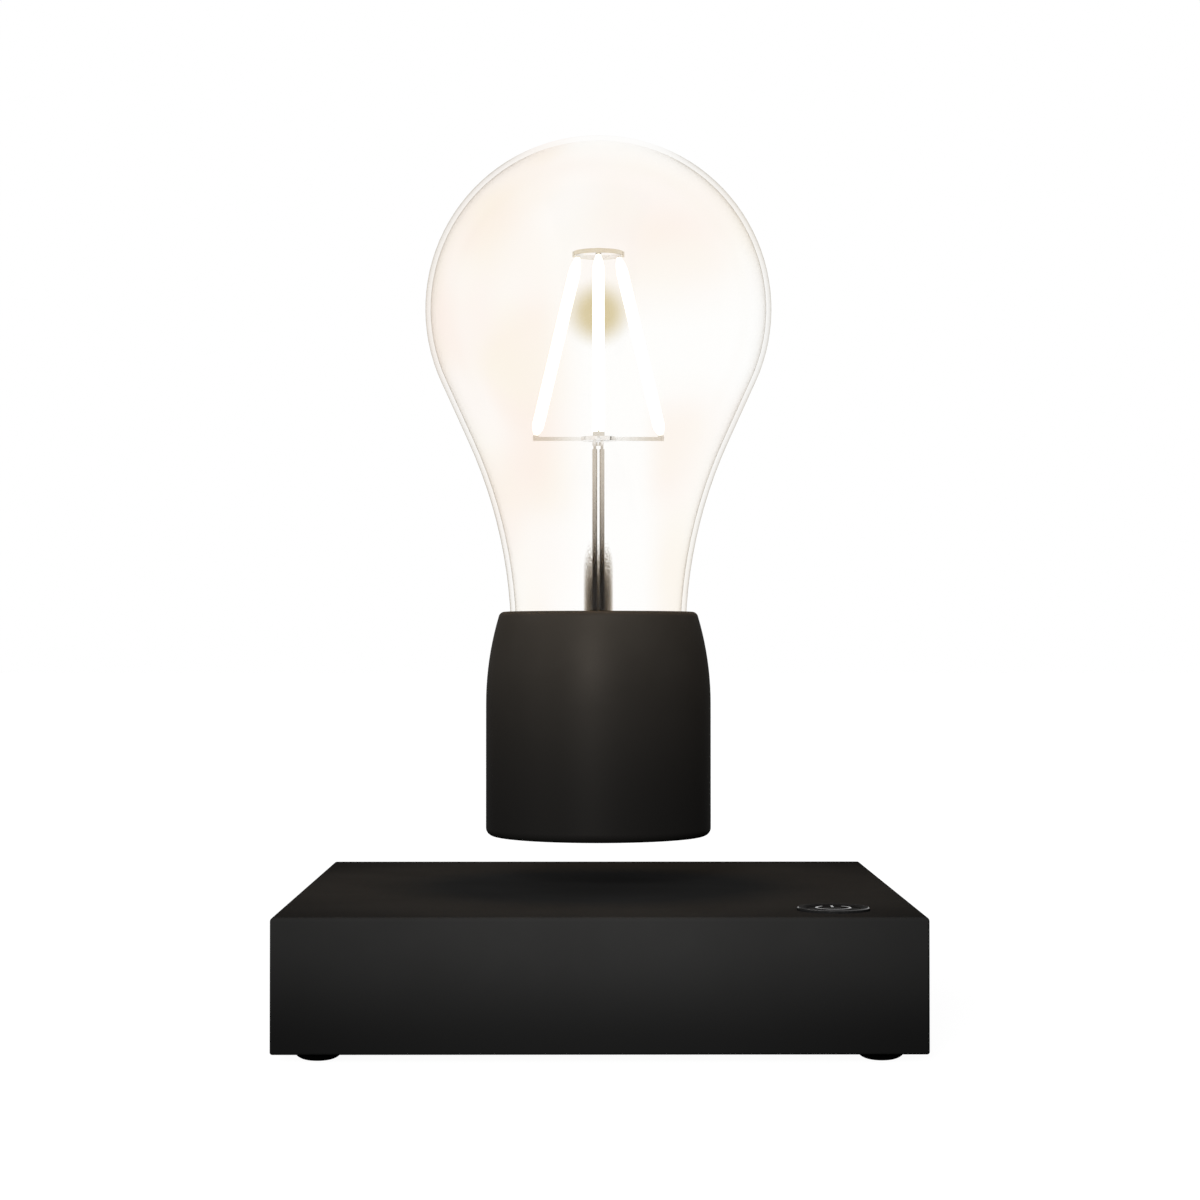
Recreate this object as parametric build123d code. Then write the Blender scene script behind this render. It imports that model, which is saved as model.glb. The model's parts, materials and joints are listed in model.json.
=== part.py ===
from build123d import *
import math
import os

# A lamp that floats over a square base, lit without wires.
# All lengths are millimetres and all angles degrees. +Z is up, the table is at zero, the front
# faces -Y, and the origin lies on the table under the middle of the base.

# Shared by all cuts and fits
cut_overrun = 1.0
fit_gap = 0.05
glue_gap = 0.15

# Base housing
base_width = 125.0
base_depth = 125.0
base_height = 26.0
base_wall = 2.5
base_top_edge_radius = 0.8
base_side_edge_radius = 0.5

# Bottom cover
cover_thickness = 2.0
cover_gap = 0.2
cover_rib_width = 1.6
cover_rib_share = 0.125
cover_rib_place_shares = (-0.28, 0.0, 0.28)

# Feet
foot_radius = 4.5
foot_height = 2.1
foot_flat_radius = 1.4
foot_side_height = 0.4
foot_recess_depth = 0.4
foot_recess_gap = 0.2
foot_edge_gap = 1.2

# Cover screws and the posts that take them
cover_screw_radius = 1.4
cover_screw_head_radius = 2.6
cover_screw_head_share = 0.8
cover_screw_length = 8.0
post_radius = 3.4
post_over_board = 2.4
post_rib_width = 1.2
screw_end_room = 1.0

# Control board
board_thickness = 1.6
board_edge_gap = 3.0
board_notch_gap = 0.6
board_screw_radius = 1.2
board_screw_head_radius = 2.4
board_screw_head_height = 1.6
board_screw_length = 7.0
standoff_radius = 3.0
standoff_wall_gap = 10.0
standoff_pitch = 52.0

# Lift field: ring magnet and steering coils
field_magnet_thickness = 8.0
field_magnet_ring_width = 15.0
field_magnet_jack_gap = 2.0
coil_count = 4
coil_circle_share = 0.586
bobbin_radius_share = 0.53
bobbin_tube_share = 0.44
bobbin_bore_share = 0.28
winding_radius_share = 0.92
bobbin_top_gap = 1.2
bobbin_flange_thickness = 1.0

# Position sensors
sensor_count = 3
sensor_first_angle = 90.0
sensor_circle_radius = 3.2
sensor_width = 4.1
sensor_thickness = 1.6
sensor_height = 3.1

# Wireless power sender
former_thickness = 0.8
former_ring_inset = 0.8
transmitter_height = 2.6
transmitter_former_inset = 0.8
transmitter_ceiling_gap = 0.5
transmitter_lead_radius = 0.5
transmitter_lead_offset = 1.6
transmitter_lead_angles = (192.0, 199.0)

# Power inlet
jack_length = 14.0
jack_top_gap = 1.1
jack_axis_share = 0.6
jack_side_wall = 1.3
jack_bore_radius = 3.2
jack_bore_depth = 9.5
jack_nose_wall = 0.9
jack_nose_recess = 0.3
jack_hole_gap = 0.2
jack_pin_radius = 1.05
jack_pin_setback = 0.5

# Parts under the control board, as shares of the board's half sides and of the room below it
chip_size = 7.0
chip_height = 1.5
chip_place_shares = ((-0.30, -0.28), (0.30, -0.28), (-0.30, 0.28), (0.30, 0.28), (0.0, 0.0))
capacitor_radius = 3.15
capacitor_height_share = 0.72
capacitor_place_shares = ((-0.16, 0.62), (0.16, 0.62))
inductor_size = 10.0
inductor_height_share = 0.56
inductor_place_shares = (0.50, 0.60)
inductor_corner_radius = 1.5

# Power button and its switch
button_radius = 7.0
button_side_gap = 0.15
button_proud = 0.6
button_travel = 0.4
button_rim_width = 1.1
button_dish_depth = 0.3
button_dish_slope = 0.5
button_edge_radius = 0.25
button_skin = 1.3
button_flange_width = 1.0
button_flange_thickness = 1.0
button_flange_gap = 0.1
button_stem_radius = 2.0
button_front_inset = 13.5
button_post_gap = 1.6
sleeve_gap = 0.35
sleeve_wall = 1.25
sleeve_length = 6.0
switch_size = 6.0
switch_height = 3.5
plunger_radius = 1.7
plunger_side_gap = 0.1
plunger_proud = 1.5
plunger_sunk = 1.2
plunger_floor_gap = 0.1

# Socket
levitation_gap = 10.9
socket_radius = 24.0
socket_height = 47.7
socket_straight_height = 28.1
socket_shoulder_inset = 3.0
socket_wall = 2.0
socket_bottom_edge_radius = 1.7
socket_top_edge_radius = 1.3
socket_rim_width = 2.35
neck_clearance = 0.2

# Socket insides, from the bottom up
cap_thickness = 1.6
cap_spigot_height = 3.0
cap_spigot_wall = 1.45
carrier_floor = 1.0
carrier_pocket_wall = 1.2
lift_magnet_thickness = 7.0
lift_magnet_side_gap = 0.3
lift_magnet_top_gap = 0.5
receiver_coil_width = 3.2
receiver_coil_height = 4.0
receiver_lead_radius = 0.4
receiver_lead_angles = (100.0, 112.0)
receiver_board_thickness = 1.2
receiver_parts_room = 5.8
receiver_choke_radius = 4.0
receiver_choke_share = 0.7
receiver_can_radius = 2.5
receiver_can_share = 0.88
receiver_chip_size = 4.5
receiver_chip_share = 0.26
receiver_part_circle_share = 0.62
holder_floor = 2.0
holder_depth = 12.0
holder_floor_hole_radius = 6.0
holder_side_gap = 0.18
holder_neck_gap = 0.25

# Glass bulb
glass_thickness = 1.1
bulb_radius = 37.0
bulb_centre_height = 64.6
neck_waist_depth = 5.8
shoulder_straight_length = 14.2

# Glass stem in the neck
stem_flange_thickness = 1.0
stem_flare_inset = 0.6
stem_flare_height = 17.0
stem_glass = 1.2
stem_radius = 3.45
stem_straight_top = 9.4
stem_tip_height = 7.5
stem_tip_wall = 0.25
stem_cavity_radius = 2.1
stem_cavity_drop = 2.0

# Lead rods
rod_radius = 0.525
rod_spacing = 1.55
rod_seal_gap = 0.03
rod_wire_radius = 0.3
rod_wire_length = 1.8
rod_tail_in_flare = 5.0

# Filament frame
arm_height_over_socket = 36.6
arm_strip_height = 0.85
arm_strip_thickness = 0.4
arm_length = 14.0
arm_end_plate_width = 2.4
hub_radius = 3.7
hub_split_gap = 0.4
hub_split_angle = 45.0
arm_root_share = 0.45
ring_height_over_arms = 38.85
ring_radius = 5.3
ring_wall = 0.35
ring_strip_height = 0.9

# Filaments and their end tabs
filament_angles = {"right": 0, "back": 90, "left": 180, "front": 270}
filament_radius = 1.25
filament_tip_radius = 0.4
filament_top_taper = 3.9
filament_bottom_taper = 2.5
filament_end_gap = 0.1
filament_ring_inset = 0.94
filament_arm_inset = 0.6
tab_width = 1.2
tab_thickness = 0.2
bottom_tab_height = 0.3

# Levels of the base, from the table up
housing_bottom = foot_height
cover_top = housing_bottom + cover_thickness
housing_top = housing_bottom + base_height
ceiling = housing_top - base_wall
transmitter_top = ceiling - transmitter_ceiling_gap
transmitter_bottom = transmitter_top - transmitter_height
field_magnet_top = transmitter_bottom - former_thickness
board_top = field_magnet_top - field_magnet_thickness
board_bottom = board_top - board_thickness
underside_room = board_bottom - cover_top
post_top = board_top + post_over_board

# Places in the base
cavity_width = base_width - 2 * base_wall
cavity_depth = base_depth - 2 * base_wall
foot_inset = base_wall + foot_edge_gap + foot_recess_gap + foot_radius
post_x = base_width / 2 - foot_inset
post_y = base_depth / 2 - foot_inset
board_width = cavity_width - 2 * board_edge_gap
board_depth = cavity_depth - 2 * board_edge_gap
notch_side_gap = post_radius + board_notch_gap
standoff_x = cavity_width / 2 - standoff_wall_gap
standoff_y = standoff_pitch / 2
field_magnet_radius = min(cavity_width, cavity_depth) / 2 - jack_length - field_magnet_jack_gap
field_magnet_inner_radius = field_magnet_radius - field_magnet_ring_width
coil_circle_radius = field_magnet_inner_radius * coil_circle_share
bobbin_radius = coil_circle_radius * bobbin_radius_share
bobbin_tube_radius = bobbin_radius * bobbin_tube_share
bobbin_bore_radius = bobbin_radius * bobbin_bore_share
winding_radius = bobbin_radius * winding_radius_share
former_outer_radius = field_magnet_radius - former_ring_inset
former_inner_radius = field_magnet_inner_radius + former_ring_inset
transmitter_radius = former_outer_radius - transmitter_former_inset
button_x = post_x - notch_side_gap - switch_size / 2 - button_post_gap
button_y = button_front_inset - base_depth / 2
jack_height = ceiling - jack_top_gap - board_top
jack_axis_level = board_top + jack_height * jack_axis_share
jack_nose_radius = jack_bore_radius + jack_nose_wall

# Levels of the lamp, from the socket's bottom up
socket_bottom = housing_top + levitation_gap
socket_top = socket_bottom + socket_height
cap_top = socket_bottom + cap_thickness
carrier_floor_top = cap_top + carrier_floor
lift_magnet_top = carrier_floor_top + lift_magnet_thickness
receiver_board_bottom = lift_magnet_top + lift_magnet_top_gap
receiver_board_top = receiver_board_bottom + receiver_board_thickness
holder_bottom = receiver_board_top + receiver_parts_room
holder_floor_top = holder_bottom + holder_floor
holder_top = holder_floor_top + holder_depth
neck_end = holder_floor_top + stem_flange_thickness
waist_level = socket_top - neck_waist_depth
bulb_centre_level = socket_top + bulb_centre_height
stem_flare_top = neck_end + stem_flare_height
stem_shoulder_level = socket_top + stem_straight_top
stem_tip_level = stem_shoulder_level + stem_tip_height
arm_bottom = socket_top + arm_height_over_socket
arm_top = arm_bottom + arm_strip_height
ring_bottom = arm_top + ring_height_over_arms
ring_top = ring_bottom + ring_strip_height

# Socket's curved shoulder: an arc that leaves the straight side without a corner
shoulder_height = socket_height - socket_straight_height
shoulder_arc_radius = (shoulder_height**2 + socket_shoulder_inset**2) / (2 * socket_shoulder_inset)
shoulder_start_level = socket_bottom + socket_straight_height
shoulder_centre_x = socket_radius - shoulder_arc_radius

# Glass outline: a ball and a hollow neck curve with a straight stretch that touches both
neck_radius = socket_radius - socket_shoulder_inset - socket_rim_width
waist_drop = bulb_centre_level - waist_level
neck_curve_radius = (
    neck_radius**2 + waist_drop**2 - bulb_radius**2 - shoulder_straight_length**2
) / (2 * (bulb_radius - neck_radius))
neck_curve_x = neck_radius + neck_curve_radius
curve_centre_distance = math.hypot(neck_curve_x, waist_drop)
centre_line_angle = math.degrees(math.atan2(waist_drop, neck_curve_x))
touch_angle = math.degrees(math.acos((bulb_radius + neck_curve_radius) / curve_centre_distance))
shoulder_angle = centre_line_angle - touch_angle

# Socket insides, from the wall inwards
socket_inner_radius = socket_radius - socket_wall
cap_radius = socket_inner_radius - glue_gap
carrier_radius = cap_radius - cap_spigot_wall - glue_gap
receiver_coil_radius = carrier_radius - glue_gap
pocket_radius = receiver_coil_radius - receiver_coil_width - glue_gap
lift_magnet_radius = pocket_radius - carrier_pocket_wall - lift_magnet_side_gap
receiver_part_circle = receiver_coil_radius * receiver_part_circle_share
stem_cavity_top = stem_flare_top - stem_cavity_drop

# Filament line, seen from the side
filament_bottom_x = arm_length - filament_arm_inset
filament_bottom_level = arm_top + bottom_tab_height + filament_end_gap
filament_top_x = ring_radius - filament_ring_inset
filament_top_level = ring_bottom - tab_thickness - filament_end_gap
filament_run = filament_top_x - filament_bottom_x
filament_rise = filament_top_level - filament_bottom_level
filament_length = math.hypot(filament_run, filament_rise)
filament_lean = math.degrees(math.atan2(filament_run, filament_rise))


def block(width, depth, bottom, top, x=0, y=0):
    """An upright box between two levels, centred on x and y."""
    return Pos(x, y, (bottom + top) / 2) * Box(width, depth, top - bottom)


def disc(radius, bottom, top, x=0, y=0):
    """An upright cylinder between two levels."""
    return Pos(x, y, (bottom + top) / 2) * Cylinder(radius, top - bottom)


def ring(outer, inner, bottom, top, x=0, y=0):
    """An upright tube between two levels."""
    hole = disc(inner, bottom - cut_overrun, top + cut_overrun, x, y)
    return disc(outer, bottom, top, x, y) - hole


def turned(edges):
    """The solid that a closed outline of radius and height makes when it turns about Z."""
    return revolve(Plane.XZ * make_face(edges), Axis.Z)


def turned_points(points):
    """A turned solid with straight sides."""
    return turned(Polyline(*points, close=True).edges())


def corners(x, y):
    """The four corners of a rectangle about the middle, by name."""
    return {
        "front_left": (-x, -y),
        "front_right": (x, -y),
        "back_left": (-x, y),
        "back_right": (x, y),
    }


def around(count, radius, first_angle=0):
    """Evenly spaced places on a circle: x, y and the angle of each."""
    places = []
    for number in range(count):
        angle = first_angle + number * 360 / count
        x = radius * math.cos(math.radians(angle))
        y = radius * math.sin(math.radians(angle))
        places.append((x, y, angle))
    return places


def circle_edge(solid, level, radius):
    """The round edge of a solid that lies nearest to a level and a radius."""
    rounds = solid.edges().filter_by(GeomType.CIRCLE)
    return min(rounds, key=lambda e: abs(e.center().Z - level) + abs(e.radius - radius))


def group(solids):
    """Several separate solids that share one node."""
    return Compound(children=list(solids))


# Base


def housing_outer():
    """The rounded outside of the housing."""
    body = block(base_width, base_depth, housing_bottom, housing_top)
    body = fillet(body.edges().filter_by(Axis.Z), base_side_edge_radius)
    body = fillet(body.faces().sort_by(Axis.Z)[-1].edges(), base_top_edge_radius)
    return fillet(body.faces().sort_by(Axis.Z)[0].edges(), base_side_edge_radius)


def corner_post(x, y):
    """A screw post on the housing's corner, tied to both side walls by ribs."""
    rib_x_end = math.copysign(cavity_width / 2 + base_wall / 2, x)
    rib_y_end = math.copysign(cavity_depth / 2 + base_wall / 2, y)
    post = disc(post_radius, cover_top, post_top, x, y)
    post += block(abs(rib_x_end - x), post_rib_width, cover_top, post_top, (x + rib_x_end) / 2, y)
    post += block(post_rib_width, abs(rib_y_end - y), cover_top, post_top, x, (y + rib_y_end) / 2)
    return post


def base_housing():
    """The moulded shell with its posts, standoffs, button sleeve and holes."""
    housing = housing_outer()
    housing -= block(cavity_width, cavity_depth, housing_bottom - cut_overrun, ceiling)
    for x, y in corners(post_x, post_y).values():
        housing += corner_post(x, y)
        screw_end = housing_bottom + foot_recess_depth + cover_screw_length + screw_end_room
        housing -= disc(cover_screw_radius + fit_gap, cover_top - cut_overrun, screw_end, x, y)
    for x, y in corners(standoff_x, standoff_y).values():
        housing += disc(standoff_radius, board_top, ceiling + base_wall / 2, x, y)
        screw_end = board_bottom + board_screw_length + screw_end_room
        housing -= disc(board_screw_radius + fit_gap, board_top - cut_overrun, screw_end, x, y)
    sleeve_radius = button_radius + button_flange_width + sleeve_gap
    sleeve_bottom = ceiling - sleeve_length
    housing += ring(sleeve_radius + sleeve_wall, sleeve_radius, sleeve_bottom, ceiling, button_x, button_y)
    hole_radius = button_radius + button_side_gap
    housing -= disc(hole_radius, ceiling - cut_overrun, housing_top + cut_overrun, button_x, button_y)
    return housing - jack_shaft(jack_nose_radius + jack_hole_gap, cavity_depth / 2 - cut_overrun,
                                base_depth / 2 + cut_overrun)


def bottom_cover():
    """The plate let into the underside, with ribs inside and a recess for each foot."""
    width = cavity_width - 2 * cover_gap
    depth = cavity_depth - 2 * cover_gap
    cover = block(width, depth, housing_bottom, cover_top)
    rib_top = cover_top + underside_room * cover_rib_share
    rib_length_x = 2 * (post_x - notch_side_gap)
    rib_length_y = 2 * (post_y - notch_side_gap)
    for share in cover_rib_place_shares:
        cover += block(cover_rib_width, rib_length_y, cover_top, rib_top, x=share * width)
        cover += block(rib_length_x, cover_rib_width, cover_top, rib_top, y=share * depth)
    recess_top = housing_bottom + foot_recess_depth
    head_height = (cover_thickness - foot_recess_depth) * cover_screw_head_share
    for x, y in corners(post_x, post_y).values():
        cover -= disc(foot_radius + foot_recess_gap, housing_bottom - cut_overrun, recess_top, x, y)
        cover -= disc(cover_screw_radius + 2 * fit_gap, housing_bottom, cover_top + cut_overrun, x, y)
        countersink = Cone(cover_screw_head_radius + fit_gap, cover_screw_radius + fit_gap, head_height)
        cover -= Pos(x, y, recess_top + head_height / 2) * countersink
    return cover


def rubber_foot(x, y):
    """A domed foot with a small flat underneath, glued into its recess."""
    top = housing_bottom + foot_recess_depth
    dome_height = foot_height - foot_side_height
    dome_width = foot_radius - foot_flat_radius
    dome_centre = (foot_flat_radius, dome_height)
    sides = [
        Line((0, 0), (foot_flat_radius, 0)),
        EllipticalCenterArc(dome_centre, dome_width, dome_height, 270, arc_size=90),
        Line((foot_radius, dome_height), (foot_radius, top)),
        Line((foot_radius, top), (0, top)),
        Line((0, top), (0, 0)),
    ]
    return Pos(x, y, 0) * turned(sides)


def cover_screws():
    """Countersunk screws from below, hidden by the feet."""
    head_bottom = housing_bottom + foot_recess_depth
    head_top = head_bottom + (cover_thickness - foot_recess_depth) * cover_screw_head_share
    outline = (
        (0, head_bottom),
        (cover_screw_head_radius, head_bottom),
        (cover_screw_radius, head_top),
        (cover_screw_radius, head_bottom + cover_screw_length),
        (0, head_bottom + cover_screw_length),
    )
    screw = turned_points(outline)
    return group(Pos(x, y, 0) * screw for x, y in corners(post_x, post_y).values())


def control_board():
    """The main board, notched at the corner posts."""
    board = block(board_width, board_depth, board_bottom, board_top)
    for x, y in corners(post_x, post_y).values():
        reach_x = abs(board_width / 2 - post_x) + notch_side_gap
        reach_y = abs(board_depth / 2 - post_y) + notch_side_gap
        middle_x = math.copysign(board_width / 2 - reach_x / 2 + cut_overrun / 2, x)
        middle_y = math.copysign(board_depth / 2 - reach_y / 2 + cut_overrun / 2, y)
        board -= block(reach_x + cut_overrun, reach_y + cut_overrun, board_bottom - cut_overrun,
                       board_top + cut_overrun, middle_x, middle_y)
    for x, y in corners(standoff_x, standoff_y).values():
        board -= disc(board_screw_radius + fit_gap, board_bottom - cut_overrun, board_top + cut_overrun, x, y)
    return board


def board_screws():
    """Pan-head screws that hold the board up against its standoffs."""
    outline = (
        (0, board_bottom - board_screw_head_height),
        (board_screw_head_radius, board_bottom - board_screw_head_height),
        (board_screw_head_radius, board_bottom),
        (board_screw_radius, board_bottom),
        (board_screw_radius, board_bottom + board_screw_length),
        (0, board_bottom + board_screw_length),
    )
    screw = turned_points(outline)
    return group(Pos(x, y, 0) * screw for x, y in corners(standoff_x, standoff_y).values())


def under_board(shares):
    """A place under the board, from shares of its half sides."""
    return shares[0] * board_width / 2, shares[1] * board_depth / 2


def driver_chips():
    """The controller and the coil drivers, flat under the board."""
    chips = []
    for shares in chip_place_shares:
        x, y = under_board(shares)
        chips.append(block(chip_size, chip_size, board_bottom - chip_height, board_bottom, x, y))
    return group(chips)


def capacitor(shares):
    """A can capacitor that hangs from the board."""
    x, y = under_board(shares)
    return disc(capacitor_radius, board_bottom - underside_room * capacitor_height_share, board_bottom, x, y)


def power_inductor():
    """The supply's square moulded choke."""
    x, y = under_board(inductor_place_shares)
    bottom = board_bottom - underside_room * inductor_height_share
    body = block(inductor_size, inductor_size, bottom, board_bottom, x, y)
    return fillet(body.edges().filter_by(Axis.Z), inductor_corner_radius)


def field_magnet_ring():
    """The ring magnet that carries the lamp's weight."""
    return ring(field_magnet_radius, field_magnet_inner_radius, board_top, field_magnet_top)


def coil_bobbin(x, y):
    """A flanged spool with an open core."""
    top = ceiling - bobbin_top_gap
    tube_bottom = board_top + bobbin_flange_thickness
    tube_top = top - bobbin_flange_thickness
    outline = (
        (bobbin_bore_radius, board_top),
        (bobbin_radius, board_top),
        (bobbin_radius, tube_bottom),
        (bobbin_tube_radius, tube_bottom),
        (bobbin_tube_radius, tube_top),
        (bobbin_radius, tube_top),
        (bobbin_radius, top),
        (bobbin_bore_radius, top),
    )
    return Pos(x, y, 0) * turned_points(outline)


def coil_winding(x, y):
    """The copper wound on one spool."""
    bottom = board_top + bobbin_flange_thickness + fit_gap
    top = ceiling - bobbin_top_gap - bobbin_flange_thickness - fit_gap
    return ring(winding_radius, bobbin_tube_radius + fit_gap, bottom, top, x, y)


def hall_sensors():
    """Three sensors that stand on the board between the coils."""
    sensor = block(sensor_thickness, sensor_width, board_top, board_top + sensor_height)
    places = around(sensor_count, sensor_circle_radius, sensor_first_angle)
    return group(Pos(x, y, 0) * Rot(0, 0, angle) * sensor for x, y, angle in places)


def transmitter_former():
    """The flat tray on the ring magnet that holds the sending coil."""
    tray = ring(former_outer_radius, former_inner_radius, field_magnet_top, transmitter_bottom)
    lip_inner = former_inner_radius
    lip_outer = former_inner_radius + transmitter_former_inset
    return tray + ring(lip_outer, lip_inner, field_magnet_top, transmitter_top)


def transmitter_coil():
    """The sending coil, wound on the tray."""
    inner = former_inner_radius + transmitter_former_inset + fit_gap
    return ring(transmitter_radius, inner, transmitter_bottom, transmitter_top)


def transmitter_leads():
    """The coil's two ends, bent down to the board outside the ring magnet."""
    level = (transmitter_bottom + transmitter_top) / 2
    reach = field_magnet_radius + transmitter_lead_offset
    drop = disc(transmitter_lead_radius, board_top, level, x=reach)
    bend = Pos(reach, 0, level) * Sphere(transmitter_lead_radius)
    run_length = reach - transmitter_radius
    run = Rot(0, 90, 0) * Cylinder(transmitter_lead_radius, run_length)
    lead = drop + bend + Pos(transmitter_radius + run_length / 2, 0, level) * run
    tail = ring(reach + cut_overrun * 2, transmitter_radius, board_top, ceiling)
    return group(Rot(0, 0, angle) * (lead & tail) for angle in transmitter_lead_angles)


def jack_shaft(radius, y_start, y_end):
    """A cylinder along the inlet's axis."""
    place = Pos(0, (y_start + y_end) / 2, jack_axis_level) * Rot(90, 0, 0)
    return place * Cylinder(radius, y_end - y_start)


def dc_jack():
    """The board-mounted inlet, whose nose fills the hole in the back wall."""
    body_back = cavity_depth / 2 - fit_gap
    nose_end = base_depth / 2 - jack_nose_recess
    width = 2 * (jack_bore_radius + jack_side_wall)
    body_middle = body_back - jack_length / 2
    jack = block(width, jack_length, board_top, board_top + jack_height, y=body_middle)
    jack += jack_shaft(jack_nose_radius, body_middle, nose_end)
    return jack - jack_shaft(jack_bore_radius, nose_end - jack_bore_depth, nose_end + cut_overrun)


def jack_contact_pin():
    """The centre contact, standing in the inlet's bore."""
    nose_end = base_depth / 2 - jack_nose_recess
    pin_end = nose_end - jack_pin_setback
    pin = jack_shaft(jack_pin_radius, nose_end - jack_bore_depth, pin_end)
    tip = pin.faces().sort_by(Axis.Y)[-1]
    return fillet(tip.edges(), jack_pin_radius / 2)


# Button and switch


def switch_body():
    """The push switch on the board, with a bore for its plunger."""
    top = board_top + switch_height
    body = block(switch_size, switch_size, board_top, top, button_x, button_y)
    bore_depth = plunger_sunk + button_travel + plunger_floor_gap
    bore = disc(plunger_radius + plunger_side_gap, top - bore_depth, top + cut_overrun, button_x, button_y)
    return body - bore


def switch_plunger():
    """The plunger that the button's stem rests on."""
    top = board_top + switch_height
    return disc(plunger_radius, top - plunger_sunk, top + plunger_proud, button_x, button_y)


def power_button():
    """The round cap with a raised rim, a stem and a flange that keeps it in."""
    stem_bottom = board_top + switch_height + plunger_proud
    cap_face = housing_top + button_proud
    dish = cap_face - button_dish_depth
    skin_bottom = dish - button_skin
    flange_top = ceiling - button_flange_gap
    flange_bottom = flange_top - button_flange_thickness
    bore_radius = button_radius - button_rim_width
    flange_radius = button_radius + button_flange_width
    outline = (
        (0, stem_bottom),
        (button_stem_radius, stem_bottom),
        (button_stem_radius, skin_bottom),
        (bore_radius, skin_bottom),
        (bore_radius, flange_bottom),
        (flange_radius, flange_bottom),
        (flange_radius, flange_top),
        (button_radius, flange_top),
        (button_radius, cap_face),
        (bore_radius, cap_face),
        (bore_radius - button_dish_slope, dish),
        (0, dish),
    )
    cap = turned_points(outline)
    cap = fillet(circle_edge(cap, cap_face, button_radius), button_edge_radius)
    return Pos(button_x, button_y, 0) * cap


# Lamp: socket


def shoulder_edges(inset):
    """The socket's side as seen in section, moved inwards: straight, then the shoulder arc."""
    arc_radius = shoulder_arc_radius - inset
    sweep = math.degrees(math.asin(shoulder_height / arc_radius))
    side_x = socket_radius - inset
    straight = Line((side_x, socket_bottom), (side_x, shoulder_start_level))
    arc = CenterArc((shoulder_centre_x, shoulder_start_level), arc_radius, 0, sweep)
    return straight, arc


def socket_inner_radius_at(level):
    """The socket's inside radius at a level in or below its shoulder."""
    rise = max(0, level - shoulder_start_level)
    return shoulder_centre_x + math.sqrt((shoulder_arc_radius - socket_wall) ** 2 - rise**2)


def glass_radius_at(level):
    """The glass's outside radius in the neck curve, at a level near the waist."""
    rise = max(0, level - waist_level)
    return neck_curve_x - math.sqrt(neck_curve_radius**2 - rise**2)


def socket_shell():
    """The socket's outer shell, open below and pierced for the glass above."""
    outer_side, outer_arc = shoulder_edges(0)
    inner_side, inner_arc = shoulder_edges(socket_wall)
    edges = [
        outer_side,
        outer_arc,
        Line(outer_arc @ 1, inner_arc @ 1),
        inner_arc,
        inner_side,
        Line(inner_side @ 0, outer_side @ 0),
    ]
    shell = turned(edges)
    rim_radius = socket_radius - socket_shoulder_inset
    shell = fillet(circle_edge(shell, socket_top, rim_radius), socket_top_edge_radius)
    shell = fillet(circle_edge(shell, socket_bottom, socket_radius), socket_bottom_edge_radius)
    opening = glass_radius_at(socket_top) + neck_clearance
    return shell - disc(opening, waist_level, socket_top + cut_overrun)


def socket_cap():
    """The plate that closes the socket's bottom, with a spigot ring."""
    spigot_inner = cap_radius - cap_spigot_wall
    plate = disc(cap_radius, socket_bottom, cap_top)
    return plate + ring(cap_radius, spigot_inner, socket_bottom, cap_top + cap_spigot_height)


def magnet_carrier():
    """The tray in the cap that holds the magnet, the coil and the board."""
    tray = disc(carrier_radius, cap_top, carrier_floor_top)
    inner = pocket_radius - carrier_pocket_wall
    return tray + ring(pocket_radius, inner, cap_top, receiver_board_bottom)


def lift_magnet():
    """The disc magnet that the base pushes up."""
    return disc(lift_magnet_radius, carrier_floor_top, lift_magnet_top)


def receiver_coil():
    """The coil that takes the power, wound round the magnet's pocket."""
    top = carrier_floor_top + receiver_coil_height
    return ring(receiver_coil_radius, pocket_radius + glue_gap, carrier_floor_top, top)


def receiver_leads():
    """The receiving coil's two ends, up to the board."""
    bottom = carrier_floor_top + receiver_coil_height
    middle = (receiver_coil_radius + pocket_radius) / 2
    lead = disc(receiver_lead_radius, bottom, receiver_board_bottom, x=middle)
    return group(Rot(0, 0, angle) * lead for angle in receiver_lead_angles)


def receiver_board():
    """The round board that rectifies the power for the filaments."""
    return disc(receiver_coil_radius, receiver_board_bottom, receiver_board_top)


def receiver_parts():
    """A choke, a can capacitor and two chips on the receiving board."""
    places = around(4, receiver_part_circle, 45)
    choke_top = receiver_board_top + receiver_parts_room * receiver_choke_share
    can_top = receiver_board_top + receiver_parts_room * receiver_can_share
    chip_top = receiver_board_top + receiver_parts_room * receiver_chip_share
    parts = [
        disc(receiver_choke_radius, receiver_board_top, choke_top, places[0][0], places[0][1]),
        disc(receiver_can_radius, receiver_board_top, can_top, places[2][0], places[2][1]),
    ]
    for x, y, angle in (places[1], places[3]):
        chip = block(receiver_chip_size, receiver_chip_size, receiver_board_top, chip_top)
        parts.append(Pos(x, y, 0) * Rot(0, 0, angle) * chip)
    return group(parts)


def bulb_holder():
    """The cup that the glass neck is bonded in."""
    outer = socket_inner_radius_at(holder_top) - holder_side_gap
    cup = disc(outer, holder_bottom, holder_top)
    cup -= disc(neck_radius + holder_neck_gap, holder_floor_top, holder_top + cut_overrun)
    return cup - disc(holder_floor_hole_radius, holder_bottom - cut_overrun, holder_top)


# Lamp: glass


def glass_edges(inset):
    """The glass's side as seen in section, moved inwards, from the neck's end to the top."""
    neck_x = neck_radius - inset
    ball_radius = bulb_radius - inset
    hollow_radius = neck_curve_radius + inset
    neck = Line((neck_x, neck_end), (neck_x, waist_level))
    hollow = CenterArc((neck_curve_x, waist_level), hollow_radius, 180, -shoulder_angle)
    ball = CenterArc((0, bulb_centre_level), ball_radius, -shoulder_angle, 90 + shoulder_angle)
    return neck, hollow, Line(hollow @ 1, ball @ 0), ball


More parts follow.
